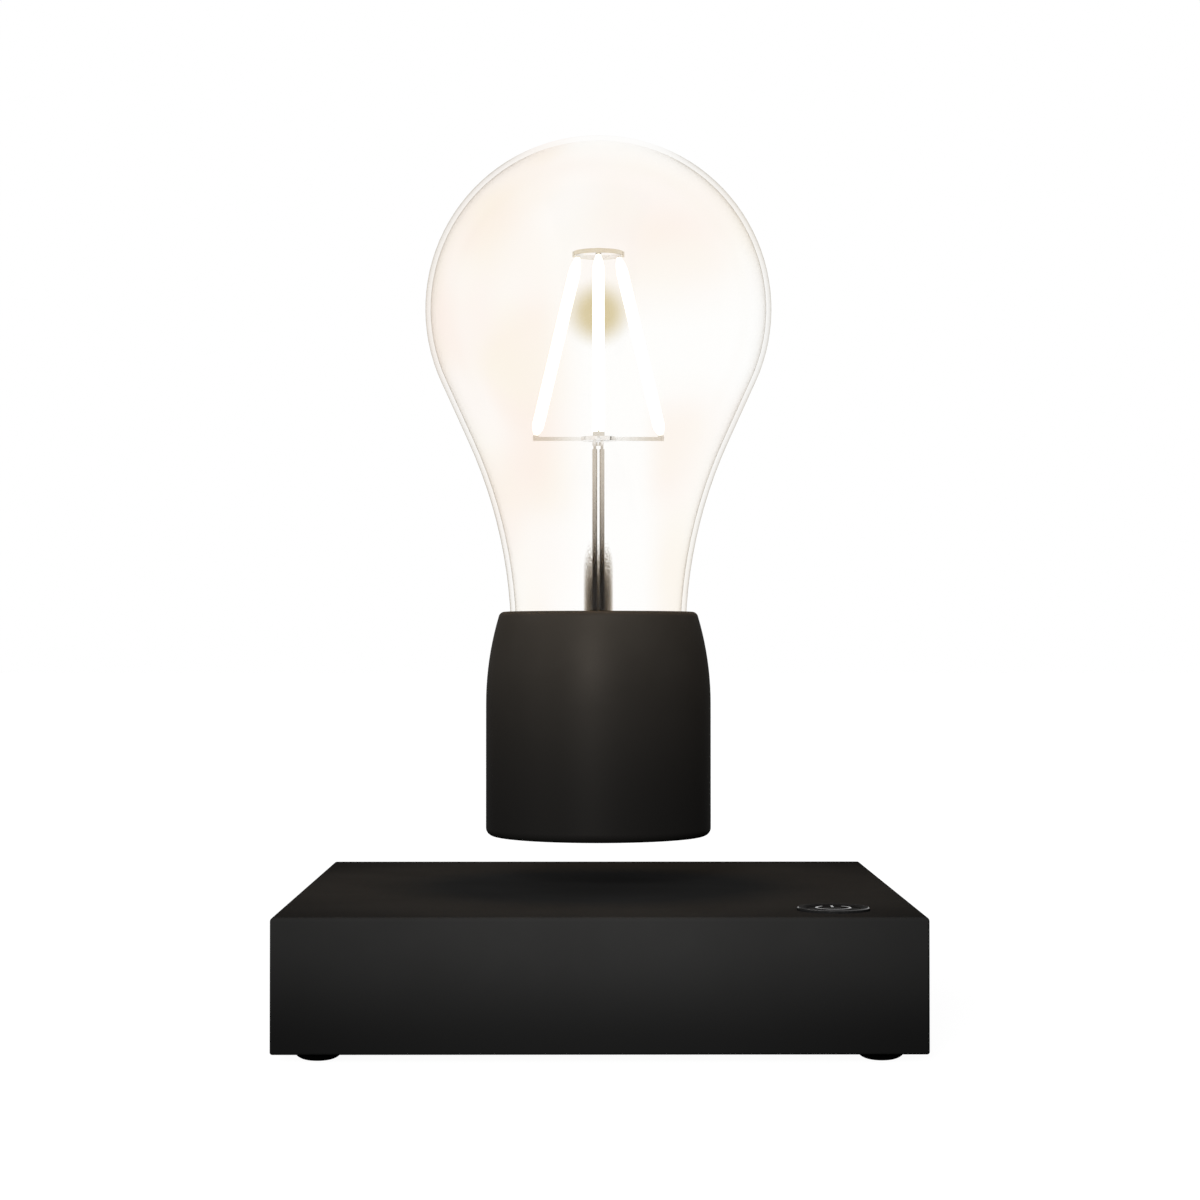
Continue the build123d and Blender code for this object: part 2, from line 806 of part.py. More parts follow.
def glass_envelope():
    """The blown bulb, open only at the neck's end."""
    outside = glass_edges(0)
    inside = glass_edges(glass_thickness)
    crown = Line(outside[-1] @ 1, inside[-1] @ 1)
    lip = Line(inside[0] @ 0, outside[0] @ 0)
    return turned([*outside, crown, *inside, lip])


def glass_stem():
    """The flare that closes the neck, the stem on it and the rounded seal round the rods."""
    flange_bottom = holder_floor_top
    flare_x = neck_radius - glass_thickness - stem_flare_inset
    tip_x = rod_spacing / 2 + rod_radius + stem_tip_wall
    flare = TangentArc((stem_radius, stem_flare_top), (flare_x, neck_end), tangent=(0, -1))
    tip = TangentArc((stem_radius, stem_shoulder_level), (tip_x, stem_tip_level), tangent=(0, 1))
    outside = [
        Line((0, flange_bottom), (neck_radius, flange_bottom)),
        Line((neck_radius, flange_bottom), (neck_radius, neck_end)),
        Line((neck_radius, neck_end), (flare_x, neck_end)),
        flare,
        Line((stem_radius, stem_flare_top), (stem_radius, stem_shoulder_level)),
        tip,
        Line((tip_x, stem_tip_level), (0, stem_tip_level)),
        Line((0, stem_tip_level), (0, flange_bottom)),
    ]
    mouth_x = flare_x - stem_glass
    mouth_level = flange_bottom - cut_overrun
    funnel = TangentArc((stem_cavity_radius, stem_cavity_top), (mouth_x, flange_bottom), tangent=(0, -1))
    hollow = [
        Line((0, mouth_level), (mouth_x, mouth_level)),
        Line((mouth_x, mouth_level), (mouth_x, flange_bottom)),
        funnel,
        Line((stem_cavity_radius, stem_cavity_top), (0, stem_cavity_top)),
        Line((0, stem_cavity_top), (0, mouth_level)),
    ]
    stem = turned(outside) - turned(hollow)
    for side in (-1, 1):
        rod_x = side * rod_spacing / 2
        bore_bottom = stem_cavity_top - cut_overrun
        stem -= disc(rod_radius + rod_seal_gap, bore_bottom, stem_tip_level + cut_overrun, x=rod_x)
    return stem


# Lamp: filament frame


def lead_rod(side):
    """One support rod, thin at both ends, from the receiving board to the hub."""
    rod_bottom = stem_cavity_top - rod_tail_in_flare
    rod_top = arm_bottom - rod_wire_length
    outline = (
        (0, receiver_board_top),
        (rod_wire_radius, receiver_board_top),
        (rod_wire_radius, rod_bottom),
        (rod_radius, rod_bottom),
        (rod_radius, rod_top),
        (rod_wire_radius, rod_top),
        (rod_wire_radius, arm_bottom),
        (0, arm_bottom),
    )
    return Pos(side * rod_spacing / 2, 0, 0) * turned_points(outline)


def support_frame(angle):
    """Half of the lower hub with two arms, each ending in a cross plate."""
    reach = hub_radius + cut_overrun
    half = block(reach, 2 * reach, arm_bottom, arm_top, x=hub_split_gap / 2 + reach / 2)
    frame = disc(hub_radius, arm_bottom, arm_top) & (Rot(0, 0, hub_split_angle) * half)
    arm_root = hub_radius * arm_root_share
    strip = block(arm_length - arm_root, arm_strip_thickness, arm_bottom, arm_top, x=(arm_length + arm_root) / 2)
    plate_x = arm_length - arm_strip_thickness / 2
    arm = strip + block(arm_strip_thickness, arm_end_plate_width, arm_bottom, arm_top, x=plate_x)
    frame += arm
    frame += Rot(0, 0, 90) * arm
    return Rot(0, 0, angle) * frame


def upper_ring():
    """The strip ring that joins the filaments at the top."""
    return ring(ring_radius, ring_radius - ring_wall, ring_bottom, ring_top)


def filament(angle):
    """A lit rod with tapered ends, leaning in from its arm to the ring."""
    shoulder_bottom = (filament_radius, filament_bottom_taper)
    shoulder_top = (filament_radius, filament_length - filament_top_taper)
    foot_tip = (filament_tip_radius, 0)
    head_tip = (filament_tip_radius, filament_length)
    edges = [
        Line((0, 0), foot_tip),
        TangentArc(shoulder_bottom, foot_tip, tangent=(0, -1)),
        Line(shoulder_bottom, shoulder_top),
        TangentArc(shoulder_top, head_tip, tangent=(0, 1)),
        Line(head_tip, (0, filament_length)),
        Line((0, filament_length), (0, 0)),
    ]
    lean = Pos(filament_bottom_x, 0, filament_bottom_level) * Rot(0, filament_lean, 0)
    return Rot(0, 0, angle) * lean * turned(edges)


def filament_tabs():
    """The welded tabs: one under and over the ring, one on the arm, for each filament."""
    lip_x = ring_radius + fit_gap + tab_thickness / 2
    shelf_start = filament_top_x - filament_tip_radius
    shelf_end = lip_x + tab_thickness / 2
    shelf_bottom = ring_bottom - tab_thickness
    shelf = block(shelf_end - shelf_start, tab_width, shelf_bottom, ring_bottom, x=(shelf_start + shelf_end) / 2)
    top_tab = shelf + block(tab_thickness, tab_width, shelf_bottom, ring_top, x=lip_x)
    bottom_tab_top = arm_top + bottom_tab_height
    bottom_tab = block(tab_width, arm_strip_thickness, arm_top, bottom_tab_top, x=filament_bottom_x)
    tabs = []
    for angle in filament_angles.values():
        tabs.append(Rot(0, 0, angle) * top_tab)
        tabs.append(Rot(0, 0, angle) * bottom_tab)
    return group(tabs)


def all_nodes():
    """Every node by its name."""
    nodes = {
        "base_housing": base_housing(),
        "bottom_cover": bottom_cover(),
        "cover_screws": cover_screws(),
        "control_board": control_board(),
        "board_screws": board_screws(),
        "driver_chips": driver_chips(),
        "power_inductor": power_inductor(),
        "field_magnet_ring": field_magnet_ring(),
        "hall_sensors": hall_sensors(),
        "transmitter_former": transmitter_former(),
        "transmitter_coil": transmitter_coil(),
        "transmitter_leads": transmitter_leads(),
        "dc_jack": dc_jack(),
        "jack_contact_pin": jack_contact_pin(),
        "switch_body": switch_body(),
        "switch_plunger": switch_plunger(),
        "power_button": power_button(),
        "lift_magnet": lift_magnet(),
        "socket_shell": socket_shell(),
        "socket_cap": socket_cap(),
        "magnet_carrier": magnet_carrier(),
        "receiver_coil": receiver_coil(),
        "receiver_leads": receiver_leads(),
        "receiver_board": receiver_board(),
        "receiver_parts": receiver_parts(),
        "bulb_holder": bulb_holder(),
        "glass_envelope": glass_envelope(),
        "glass_stem": glass_stem(),
        "lead_rod_left": lead_rod(-1),
        "lead_rod_right": lead_rod(1),
        "support_frame_right": support_frame(0),
        "support_frame_left": support_frame(180),
        "upper_ring": upper_ring(),
        "filament_tabs": filament_tabs(),
    }
    for name, (x, y) in corners(post_x, post_y).items():
        nodes["foot_" + name] = rubber_foot(x, y)
    for number, shares in enumerate(capacitor_place_shares, start=1):
        nodes[f"capacitor_{number}"] = capacitor(shares)
    coil_places = around(coil_count, coil_circle_radius)
    for number, (x, y, _) in enumerate(coil_places, start=1):
        nodes[f"coil_bobbin_{number}"] = coil_bobbin(x, y)
        nodes[f"coil_winding_{number}"] = coil_winding(x, y)
    for name, angle in filament_angles.items():
        nodes["filament_" + name] = filament(angle)
    return nodes


def save_all():
    """Writes each node to its own file."""
    os.makedirs("parts", exist_ok=True)
    for name, shape in all_nodes().items():
        shape.label = name
        export_step(shape, f"parts/{name}.step")


save_all()
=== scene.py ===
import json
import math

import bmesh
import bpy
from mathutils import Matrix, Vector


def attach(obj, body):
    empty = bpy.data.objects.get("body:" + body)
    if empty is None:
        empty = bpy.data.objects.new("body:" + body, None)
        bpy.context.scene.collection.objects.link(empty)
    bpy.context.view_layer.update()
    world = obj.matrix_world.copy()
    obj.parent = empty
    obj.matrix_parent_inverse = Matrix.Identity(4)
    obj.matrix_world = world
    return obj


# Units: Blender works in metres, and values whose name ends in MM are in millimetres
MM = 0.001

# Camera, from the view that was solved on the base's corners
CAMERA_LENS_MM = 77.31
CAMERA_SENSOR_MM = 36.0
CAMERA_PLACE_MM = (-2.6, -551.27, 80.2)
CAMERA_TILT_DEG = 90.938
CAMERA_TURN_DEG = -0.306

# Levels over the table
HOUSING_SPAN_MM = (2.1, 28.1)
NECK_VISIBLE_MM = 86.7
SOCKET_SPAN_MM = (39.0, NECK_VISIBLE_MM)
STEM_TIP_MM = 103.6

# From none to all, as shares or as a span
RISING = (0.0, 1.0)

# The middle of a noise's values, which holds most of them
NOISE_BAND = (0.3, 0.7)

# Keeps the sideways parts of a place and drops its height
WITHOUT_HEIGHT = (1.0, 1.0, 0.0)

# With this blend the facing value is one less the cosine of the angle to the eye
FACING_BLEND = 0.5

# Colours
WHITE = (1.0, 1.0, 1.0)
SOFT_WHITE = (1.0, 0.995, 0.985)

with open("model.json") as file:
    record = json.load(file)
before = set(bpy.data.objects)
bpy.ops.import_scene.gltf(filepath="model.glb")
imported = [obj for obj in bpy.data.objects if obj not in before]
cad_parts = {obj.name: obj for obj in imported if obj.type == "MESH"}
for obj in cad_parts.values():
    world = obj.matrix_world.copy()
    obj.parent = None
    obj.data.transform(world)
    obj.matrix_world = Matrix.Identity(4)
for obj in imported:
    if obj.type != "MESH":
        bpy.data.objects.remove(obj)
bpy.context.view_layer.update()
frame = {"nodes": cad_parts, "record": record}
nodes = frame["nodes"]


def grey(level):
    """A colour without a hue."""
    return (level, level, level)


def in_metres(lengths_mm):
    """Lengths in millimetres turned into metres."""
    return [length * MM for length in lengths_mm]


def add(tree, kind, inputs=None, **settings):
    """One shader node with its settings, and its inputs set or linked."""
    made = tree.nodes.new(kind)
    for name, value in settings.items():
        setattr(made, name, value)
    set_inputs(tree, made, inputs or {})
    return made


def set_inputs(tree, node, inputs):
    """Sets or links the named or numbered inputs of a node."""
    for name, value in inputs.items():
        if isinstance(value, bpy.types.NodeSocket):
            tree.links.new(value, node.inputs[name])
        else:
            node.inputs[name].default_value = value


def mix_colour(tree, share, first, second):
    """The colour that goes from first to second as share goes from 0 to 1."""
    mixer = tree.nodes.new("ShaderNodeMix")
    mixer.data_type = "RGBA"
    share_input, first_input, second_input, colour_output = 0, 6, 7, 2
    set_inputs(tree, mixer, {share_input: share})
    for index, colour in ((first_input, first), (second_input, second)):
        flat = not isinstance(colour, bpy.types.NodeSocket)
        set_inputs(tree, mixer, {index: (*colour, 1.0) if flat else colour})
    return mixer.outputs[colour_output]


def mix_shaders(tree, share, first, second):
    """The shader that goes from first to second as share goes from 0 to 1."""
    return add(tree, "ShaderNodeMixShader", {0: share, 1: first.outputs[0], 2: second.outputs[0]})


def show(tree, shader):
    """Puts a shader on the surface."""
    tree.links.new(shader.outputs[0], tree.nodes["surface"].inputs["Surface"])


def ramp(tree, value, span, shares, smooth=True):
    """A number that goes over the shares as value goes over the span."""
    limits = {
        "Value": value,
        "From Min": span[0],
        "From Max": span[1],
        "To Min": shares[0],
        "To Max": shares[1],
    }
    kind = "SMOOTHSTEP" if smooth else "LINEAR"
    return add(tree, "ShaderNodeMapRange", limits, interpolation_type=kind).outputs["Result"]


def spread(tree, value, shares):
    """A noise's values spread over the shares."""
    return ramp(tree, value, NOISE_BAND, shares)


def maths(tree, operation, first, second=0.0):
    """What an operation makes of one or two numbers."""
    return add(tree, "ShaderNodeMath", {0: first, 1: second}, operation=operation).outputs[0]


def product(tree, first, second):
    """Two numbers multiplied."""
    return maths(tree, "MULTIPLY", first, second)


def noise(tree, place, size_mm, detail=3.0):
    """Cloudy noise whose features are about size_mm across."""
    inputs = {"Vector": place, "Scale": 1.0 / (size_mm * MM), "Detail": detail}
    return add(tree, "ShaderNodeTexNoise", inputs).outputs[0]


def bumps(tree, height, depth_mm, strength=1.0):
    """Small relief on a surface, depth_mm deep."""
    inputs = {"Height": height, "Distance": depth_mm * MM, "Strength": strength}
    return add(tree, "ShaderNodeBump", inputs).outputs["Normal"]


def vectors(tree, operation, first, second):
    """What an operation makes of two places."""
    return add(tree, "ShaderNodeVectorMath", {0: first, 1: second}, operation=operation)


def height_of(tree, place):
    """The height over the table, in metres."""
    return add(tree, "ShaderNodeSeparateXYZ", {"Vector": place}).outputs["Z"]


def length_of(tree, place):
    """The distance from the origin, in metres."""
    return add(tree, "ShaderNodeVectorMath", {0: place}, operation="LENGTH").outputs["Value"]


def reach_of(tree, place):
    """The distance from the upright line through the origin, in metres."""
    return length_of(tree, vectors(tree, "MULTIPLY", place, WITHOUT_HEIGHT).outputs[0])


def facing_of(tree):
    """How far the surface turns away from the eye: 0 where it faces it and 1 at its edge."""
    return add(tree, "ShaderNodeLayerWeight", {"Blend": FACING_BLEND}).outputs["Facing"]


def new_material(name):
    """An empty material with its tree, its Principled shader and the place on the object."""
    material = bpy.data.materials.new(name)
    material.use_nodes = True
    tree = material.node_tree
    tree.nodes.clear()
    tree.nodes.new("ShaderNodeOutputMaterial").name = "surface"
    shader = tree.nodes.new("ShaderNodeBsdfPrincipled")
    show(tree, shader)
    place = tree.nodes.new("ShaderNodeTexCoord").outputs["Object"]
    return material, tree, shader, place


# Moulded plastic and rubber
MOULDED_CLOUDS_PER_GRAIN = 60.0
MOULDED_COAT_ROUGHNESS = 0.12


def moulded(name, dark, light, rough, grain_mm, relief_mm,
            specular=0.0, metallic=0.0, edge_tint=1.0, coat=0.0,
            painted_shade_span_mm=None, painted_shade_colour=None, painted_shade_power=None,
            corner_shade_mm=None, corner_shade_share=None):
    """Moulded plastic or rubber: cloudy and finely grained, with painted shade that darkens it towards a
    foot or towards its corners where given.
    """
    material, tree, shader, place = new_material(name)
    clouds = noise(tree, place, grain_mm * MOULDED_CLOUDS_PER_GRAIN)
    grain = noise(tree, place, grain_mm)
    colour = mix_colour(tree, spread(tree, clouds, RISING), dark, light)
    # Painted shade: the colour darkens over the given span down to the foot colour, standing in for less
    # light low down
    if painted_shade_span_mm:
        shade = ramp(tree, height_of(tree, place), in_metres(painted_shade_span_mm), RISING, smooth=not painted_shade_power)
        if painted_shade_power:
            shade = maths(tree, "POWER", shade, painted_shade_power)
        colour = mix_colour(tree, shade, painted_shade_colour, colour)
    # Painted shade: the colour darkens towards the corners, standing in for light that falls off to the
    # sides
    if corner_shade_mm:
        share = ramp(tree, reach_of(tree, place), in_metres(corner_shade_mm), (1.0, corner_shade_share))
        scaled = {0: colour, "Scale": share}
        colour = add(tree, "ShaderNodeVectorMath", scaled, operation="SCALE").outputs[0]
    set_inputs(tree, shader, {
        "Base Color": colour,
        "Metallic": metallic,
        "Specular Tint": (*grey(edge_tint), 1.0),
        "Roughness": spread(tree, grain, rough),
        "Specular IOR Level": specular,
        "Coat Weight": coat,
        "Coat Roughness": MOULDED_COAT_ROUGHNESS,
        "Normal": bumps(tree, grain, relief_mm),
    })
    return material


# The button: where it is, and where its face is polished
BUTTON_PLACE_MM = (45.5, -49.0, 0.0)
BUTTON_DISH_MM = 28.4
BUTTON_TOP_MM = 28.7
BUTTON_EDGE_MM = (6.65, 7.0)
BUTTON_EDGE_DROP_MM = (0.18, 0.1)
SIGN_RADIUS_MM = 3.3
SIGN_POLISH_OVER_DISH_MM = (0.03, 0.1)
SIGN_POLISH_PAST_RING_MM = (0.8, 0.4)
SIGN_POLISH_SHARE = 0.7

# The button's finish
BUTTON_DARK = grey(0.007)
BUTTON_LIGHT = grey(0.012)
BUTTON_ROUGH = (0.25, 0.35)
BUTTON_COAT = (0.03, 1.0)
BUTTON_COAT_ROUGHNESS = 0.06
BUTTON_GRAIN_MM = 0.5
BUTTON_RELIEF_MM = 0.004


def button_polish(tree, place):
    """1 on the edge of the rim, a little less on the raised sign, and 0 elsewhere."""
    level = height_of(tree, place)
    away = reach_of(tree, vectors(tree, "SUBTRACT", place, in_metres(BUTTON_PLACE_MM)).outputs[0])
    top_levels = [BUTTON_TOP_MM - drop for drop in BUTTON_EDGE_DROP_MM]
    on_top = ramp(tree, level, in_metres(top_levels), RISING)
    on_edge = product(tree, on_top, ramp(tree, away, in_metres(BUTTON_EDGE_MM), RISING))
    sign_levels = [BUTTON_DISH_MM + rise for rise in SIGN_POLISH_OVER_DISH_MM]
    over_dish = ramp(tree, level, in_metres(sign_levels), RISING)
    sign_reach = [SIGN_RADIUS_MM + past for past in SIGN_POLISH_PAST_RING_MM]
    on_sign = product(tree, over_dish, ramp(tree, away, in_metres(sign_reach), RISING))
    return maths(tree, "MAXIMUM", on_edge, product(tree, on_sign, SIGN_POLISH_SHARE))


def polished_button(name):
    """The button: a satin black face, with its rim's edge and its raised sign polished bright."""
    material, tree, shader, place = new_material(name)
    grain = noise(tree, place, BUTTON_GRAIN_MM)
    set_inputs(tree, shader, {
        "Base Color": mix_colour(tree, spread(tree, grain, RISING), BUTTON_DARK, BUTTON_LIGHT),
        "Roughness": spread(tree, grain, BUTTON_ROUGH),
        "Specular IOR Level": 0.0,
        "Coat Weight": ramp(tree, button_polish(tree, place), RISING, BUTTON_COAT),
        "Coat Roughness": BUTTON_COAT_ROUGHNESS,
        "Normal": bumps(tree, grain, BUTTON_RELIEF_MM),
    })
    return material


# Metal
METAL_CLOUDS_PER_GRAIN = 20.0


def metal(name, dark, light, rough, grain_mm, relief_mm):
    """Metal with a cloudy tone and fine scratches or drawing marks."""
    material, tree, shader, place = new_material(name)
    clouds = noise(tree, place, grain_mm * METAL_CLOUDS_PER_GRAIN)
    grain = noise(tree, place, grain_mm)
    set_inputs(tree, shader, {
        "Base Color": mix_colour(tree, spread(tree, clouds, RISING), dark, light),
        "Metallic": 1.0,
        "Roughness": spread(tree, grain, rough),
        "Normal": bumps(tree, grain, relief_mm),
    })
    return material


# Wound wire
SINE_SPAN = (-1.0, 1.0)
WIRE_CLOUDS_PER_TURN = 8.0
WIRE_CLOUD_SHARES = (0.7, 1.0)
WIRE_METALLIC = 0.85
WIRE_ROUGH = (0.28, 0.42)
ENAMEL_COAT = 0.6
ENAMEL_ROUGHNESS = 0.1
GROOVE_DEPTH_SHARE = 0.25


def wound_wire(name, dark, light, wire_mm):
    """Enamelled wire laid in turns one over another, lighter on each turn and darker in the grooves
    between, as painted light and shade.
    """
    material, tree, shader, place = new_material(name)
    angle = product(tree, height_of(tree, place), math.tau / (wire_mm * MM))
    groove = ramp(tree, maths(tree, "SINE", angle), SINE_SPAN, RISING)
    clouds = noise(tree, place, wire_mm * WIRE_CLOUDS_PER_TURN)
    # Painted shade: the colour is darker in the grooves between turns and lighter on each turn
    shade = product(tree, groove, spread(tree, clouds, WIRE_CLOUD_SHARES))
    set_inputs(tree, shader, {
        "Base Color": mix_colour(tree, shade, dark, light),
        "Metallic": WIRE_METALLIC,
        "Roughness": spread(tree, clouds, WIRE_ROUGH),
        "Coat Weight": ENAMEL_COAT,
        "Coat Roughness": ENAMEL_ROUGHNESS,
        "Normal": bumps(tree, groove, wire_mm * GROOVE_DEPTH_SHARE),
    })
    return material


# Circuit board
BOARD_TRACKS_PER_TILE = 8.0
BOARD_TRACK_SHARE = 0.03
BOARD_PAD_LEVEL = 0.1
BOARD_CLOUDS_PER_TRACK = 12.0
BOARD_CLOUD_SHARES = (0.7, 1.0)
BOARD_ROUGH = (0.3, 0.42)
BOARD_SPECULAR = 0.5
BOARD_RELIEF_MM = 0.035


def circuit_board(name, dark, light, track_mm):
    """Solder mask over tracks, which show as a faint lighter relief."""
    material, tree, shader, place = new_material(name)
    tracks = add(tree, "ShaderNodeTexBrick", {
        "Vector": place,
        "Scale": 1.0 / (track_mm * MM * BOARD_TRACKS_PER_TILE),
        "Mortar Size": BOARD_TRACK_SHARE,
        "Color1": (*grey(0.0), 1.0),
        "Color2": (*grey(BOARD_PAD_LEVEL), 1.0),
        "Mortar": (*WHITE, 1.0),
    })
    line = ramp(tree, tracks.outputs["Color"], RISING, RISING, smooth=False)
    clouds = noise(tree, place, track_mm * BOARD_CLOUDS_PER_TRACK)
    shade = product(tree, spread(tree, clouds, BOARD_CLOUD_SHARES), line)
    set_inputs(tree, shader, {
        "Base Color": mix_colour(tree, shade, dark, light),
        "Roughness": spread(tree, clouds, BOARD_ROUGH),
        "Specular IOR Level": BOARD_SPECULAR,
        "Normal": bumps(tree, line, BOARD_RELIEF_MM),
    })
    return material


# Bulb glass: a faint clear tint in its wall, with painted reflection as cream patches and a tan spot
CLEAR_TINT = (1.0, 1.0, 0.995)
CREAM_REFLECTION_YELLOW = (0.985, 0.945, 0.885)
CREAM_REFLECTION_PINK = (0.99, 0.937, 0.90)
CREAM_HUE_BAND = (0.35, 0.65)
CREAM_HUE_CLOUD_MM = 23.0
PATCH_CLOUD_MM = 34.0
PATCH_CLOUD_DETAIL = 1.0
PATCH_BAND = (0.38, 0.62)
PATCH_SHARES = (0.3, 1.0)
LEFT_PATCH_X_MM = (-1.0, -14.0)
LEFT_PATCH_SHARES = (0.1, 1.0)
RIGHT_PATCH_X_MM = (7.0, 15.0)
RIGHT_PATCH_SHARES = (0.0, 0.7)
RIGHT_PATCH_Z_MM = (139.4, 127.4)
HIGH_PATCH_Z_MM = (147.4, 165.4)
HIGH_PATCH_SHARES = (0.0, 0.9)
TOP_FADE_Z_MM = (175.4, 186.4)
TOP_FADE_SHARES = (1.0, 0.2)
# The tan spot behind the filaments is a painted reflection
TAN_PAINTED_REFLECTION = (0.70, 0.60, 0.37)
TAN_REFLECTION_PLACE_MM = (0.1, 36.7, 155.4)
TAN_REFLECTION_SIZE_MM = (9.0, 2.5)


def painted_reflection_share(tree, sideways, height, clouds):
    """How much cream reflection is painted: most at the left, at the lower right and high up, broken into
    clouds.
    """
    left = ramp(tree, sideways, in_metres(LEFT_PATCH_X_MM), LEFT_PATCH_SHARES)
    right = ramp(tree, sideways, in_metres(RIGHT_PATCH_X_MM), RIGHT_PATCH_SHARES)
    right = product(tree, right, ramp(tree, height, in_metres(RIGHT_PATCH_Z_MM), RISING))
    high = ramp(tree, height, in_metres(HIGH_PATCH_Z_MM), HIGH_PATCH_SHARES)
    high = product(tree, high, ramp(tree, height, in_metres(TOP_FADE_Z_MM), TOP_FADE_SHARES))
    widest = maths(tree, "MAXIMUM", maths(tree, "MAXIMUM", left, right), high)
    return product(tree, ramp(tree, clouds, PATCH_BAND, PATCH_SHARES), widest)


def tint_and_painted_reflection(tree, place, sideways, height, clouds):
    """The colour that the glass gives to what is behind it: a faint clear tint, with cream patches and a
    tan spot painted as reflections.
    """
    hue = ramp(tree, noise(tree, place, CREAM_HUE_CLOUD_MM, PATCH_CLOUD_DETAIL), CREAM_HUE_BAND, RISING)
    cream_reflection = mix_colour(tree, hue, CREAM_REFLECTION_YELLOW, CREAM_REFLECTION_PINK)
    tint_and_reflection = mix_colour(tree, painted_reflection_share(tree, sideways, height, clouds), CLEAR_TINT, cream_reflection)
    away = vectors(tree, "DISTANCE", place, in_metres(TAN_REFLECTION_PLACE_MM)).outputs["Value"]
    return mix_colour(tree, ramp(tree, away, in_metres(TAN_REFLECTION_SIZE_MM), RISING), tint_and_reflection, TAN_PAINTED_REFLECTION)


# A ray through the glass wall crosses its two faces, so each face takes the root of the tint and painted
# reflection
FACE_GAMMA = 0.5

# Bulb glass: its dark edge, a painted reflection of darker surroundings, and its gloss
EDGE_REFLECTION_DARK = (0.2, 0.12, 0.0)
EDGE_POWER = 10.0
EDGE_SHARE = 0.52
EDGE_GRAIN_MM = 0.3
EDGE_GRAIN_DETAIL = 2.0
EDGE_GRAIN_SHARES = (0.4, 1.6)
EDGE_TOP_Z_MM = (180.9, 185.9)
EDGE_TOP_SHARES = (1.0, 0.05)
EDGE_NECK_Z_MM = (89.4, 139.4)
EDGE_NECK_SHARES = (1.6, 1.0)
GLOSS_POWER = 5.0
GLOSS_SHARES = (0.006, 0.2)
GLOSS_ROUGH = (0.0, 0.05)
GLASS_WAVE_MM = 0.12
GLASS_WAVE_STRENGTH = 0.3
TINT_FOR_LAMPS = (0.985, 0.97, 0.94)


def edge_reflection_share(tree, place, height, facing):
    """How much painted reflection darkens the glass where it turns away: in grains, more at the neck and
    hardly at the top.
    """
    grain = spread(tree, noise(tree, place, EDGE_GRAIN_MM, EDGE_GRAIN_DETAIL), EDGE_GRAIN_SHARES)
    edge_darkening = product(tree, maths(tree, "POWER", facing, EDGE_POWER), product(tree, grain, EDGE_SHARE))
    top = ramp(tree, height, in_metres(EDGE_TOP_Z_MM), EDGE_TOP_SHARES)
    neck = ramp(tree, height, in_metres(EDGE_NECK_Z_MM), EDGE_NECK_SHARES)
    return product(tree, edge_darkening, product(tree, top, neck))


def blown_glass(name):
    """The bulb: thin clear glass with a faint tint, painted reflections as cream patches, a tan spot and a
    dark edge, and a gloss that grows towards the edge.
    """
    material, tree, shader, place = new_material(name)
    tree.nodes.remove(shader)
    parts = add(tree, "ShaderNodeSeparateXYZ", {"Vector": place}).outputs
    sideways, height = parts["X"], parts["Z"]
    clouds = noise(tree, place, PATCH_CLOUD_MM, PATCH_CLOUD_DETAIL)
    facing = facing_of(tree)
    tint_and_reflection = tint_and_painted_reflection(tree, place, sideways, height, clouds)
    wall = add(tree, "ShaderNodeGamma", {"Color": tint_and_reflection, "Gamma": FACE_GAMMA}).outputs[0]
    through = mix_colour(tree, edge_reflection_share(tree, place, height, facing), wall, EDGE_REFLECTION_DARK)
    clear = add(tree, "ShaderNodeBsdfTransparent", {"Color": through})
    mirror = add(tree, "ShaderNodeBsdfGlossy", {
        "Color": (*WHITE, 1.0),
        "Roughness": spread(tree, clouds, GLOSS_ROUGH),
        "Normal": bumps(tree, clouds, GLASS_WAVE_MM, GLASS_WAVE_STRENGTH),
    })
    gloss_share = ramp(tree, maths(tree, "POWER", facing, GLOSS_POWER), RISING, GLOSS_SHARES, smooth=False)
    seen = mix_shaders(tree, gloss_share, clear, mirror)
    for_lamps = add(tree, "ShaderNodeBsdfTransparent", {"Color": (*TINT_FOR_LAMPS, 1.0)})
    path = tree.nodes.new("ShaderNodeLightPath")
    show(tree, mix_shaders(tree, path.outputs["Is Shadow Ray"], seen, for_lamps))
    return material


# Stem glass
STEM_DARK = (0.035, 0.025, 0.018)
STEM_LIGHT = (0.06, 0.045, 0.033)
STEM_BROWN = (0.80, 0.66, 0.48)
STEM_GRAIN_MM = 0.4
STEM_GRAIN_SHIFT_MM = (-2.0, 2.0)
STEM_CLEAR_UNDER_TIP_MM = 1.0
STEM_DARK_OVER_NECK_MM = 3.0
STEM_EDGE_FACING = (0.0, 0.7)
STEM_EDGE_SHARES = (0.8, 0.0)
STEM_ROUGH = (0.25, 0.45)
STEM_SPECULAR = 0.1
STEM_RELIEF_MM = 0.05
STEM_RELIEF_STRENGTH = 0.2


